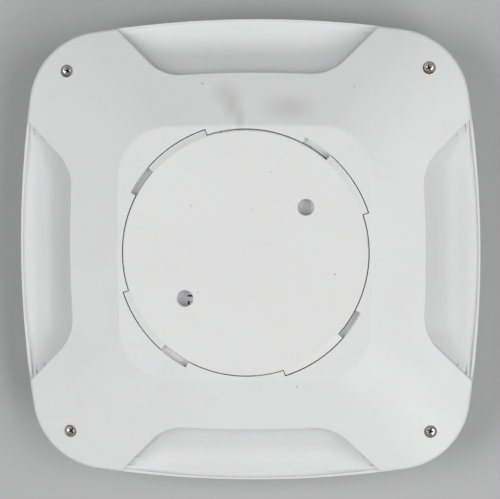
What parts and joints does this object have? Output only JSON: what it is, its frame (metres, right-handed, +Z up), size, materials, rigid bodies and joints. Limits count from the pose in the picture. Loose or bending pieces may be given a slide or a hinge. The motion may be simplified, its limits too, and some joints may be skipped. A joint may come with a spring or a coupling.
{
  "type": "smoke detector",
  "caption": "Ceiling smoke and heat detector with bowed square housing, side intakes, bayonet ceiling bracket, test button, sounder and cells.",
  "frame": {"origin": "centre of the mounting bracket's flat face that lies against the ceiling", "axes": "+Z points up at the ceiling and away from the room; the front face is lowest; +X and +Y run across two adjacent sides of the housing"},
  "size_m": [0.132, 0.132, 0.031],
  "materials": {
    "cover_white": "fine matte moulded",
    "bracket_white": "fine matte moulded",
    "plated_steel": "nickel plated",
    "board_laminate": "solder mask",
    "black_plastic": "moulded",
    "mesh_steel": "thin sheet",
    "optic_resin": "clear moulded",
    "dark_resin": "moulded",
    "brass_disc": "rolled",
    "cell_can": "wrapped can",
    "ceramic": "sintered",
    "lens_resin": "translucent",
    "label_film": "satin film"
  },
  "bodies": {
    "bracket": {"mounting_bracket": "bracket_white"},
    "detector": {"rear_cover": "cover_white", "front_cover": "cover_white", "housing_screws": "plated_steel", "circuit_board": "board_laminate", "board_screws": "plated_steel", "chamber_base": "black_plastic", "chamber_cover": "black_plastic", "insect_mesh": "mesh_steel", "ir_emitter": "optic_resin", "photodiode": "dark_resin", "thermistor": "dark_resin", "sounder_cup": "black_plastic", "piezo_disc": "brass_disc", "sounder_contacts": "plated_steel", "main_cell_left": "cell_can", "main_cell_right": "cell_can", "cell_holder_left": "black_plastic", "cell_holder_right": "black_plastic", "cell_plate_left": "plated_steel", "cell_plate_right": "plated_steel", "cell_spring_left": "plated_steel", "cell_spring_right": "plated_steel", "coin_cell_holder": "black_plastic", "coin_cell": "cell_can", "antennas": "ceramic", "rf_shield": "mesh_steel", "controller_chip": "dark_resin", "storage_capacitor": "cell_can", "boost_choke": "dark_resin", "board_header": "black_plastic", "button_board": "board_laminate", "board_spacers": "black_plastic", "status_led": "optic_resin", "test_switch": "black_plastic", "tamper_switch": "black_plastic", "power_switch": "plated_steel", "id_label": "label_film"},
    "test_button": {"test_button": "cover_white", "indicator_lens": "lens_resin"},
    "test_key": {"test_switch_key": "black_plastic"},
    "tamper_plunger": {"tamper_plunger": "bracket_white"},
    "power_slider": {"power_switch_slider": "black_plastic"}
  },
  "joints": [
    {"name": "bracket_twist", "type": "hinge", "parent": "bracket", "child": "detector", "pos_m": [0, 0, 0], "axis": [0, 0, -1], "range_deg": [0, 13.3]},
    {"name": "test_button_press", "type": "slide", "parent": "detector", "child": "test_button", "axis": [0, 0, 1], "range_m": [0, 0.0005], "stiffness_N_per_m": 400, "springref_m": -0.001},
    {"name": "test_key_press", "type": "slide", "parent": "detector", "child": "test_key", "axis": [0, 0, 1], "range_m": [0, 0.0005]},
    {"name": "tamper_press", "type": "slide", "parent": "detector", "child": "tamper_plunger", "axis": [0, 0, -1], "range_m": [0, 0.0008], "stiffness_N_per_m": 300, "springref_m": -0.0015},
    {"name": "power_slide", "type": "slide", "parent": "detector", "child": "power_slider", "axis": [1, 0, 0], "range_m": [0, 0.002]}
  ],
  "couplings": [
    {"joint": "test_key_press", "follows": "test_button_press", "ratio": 1}
  ]
}
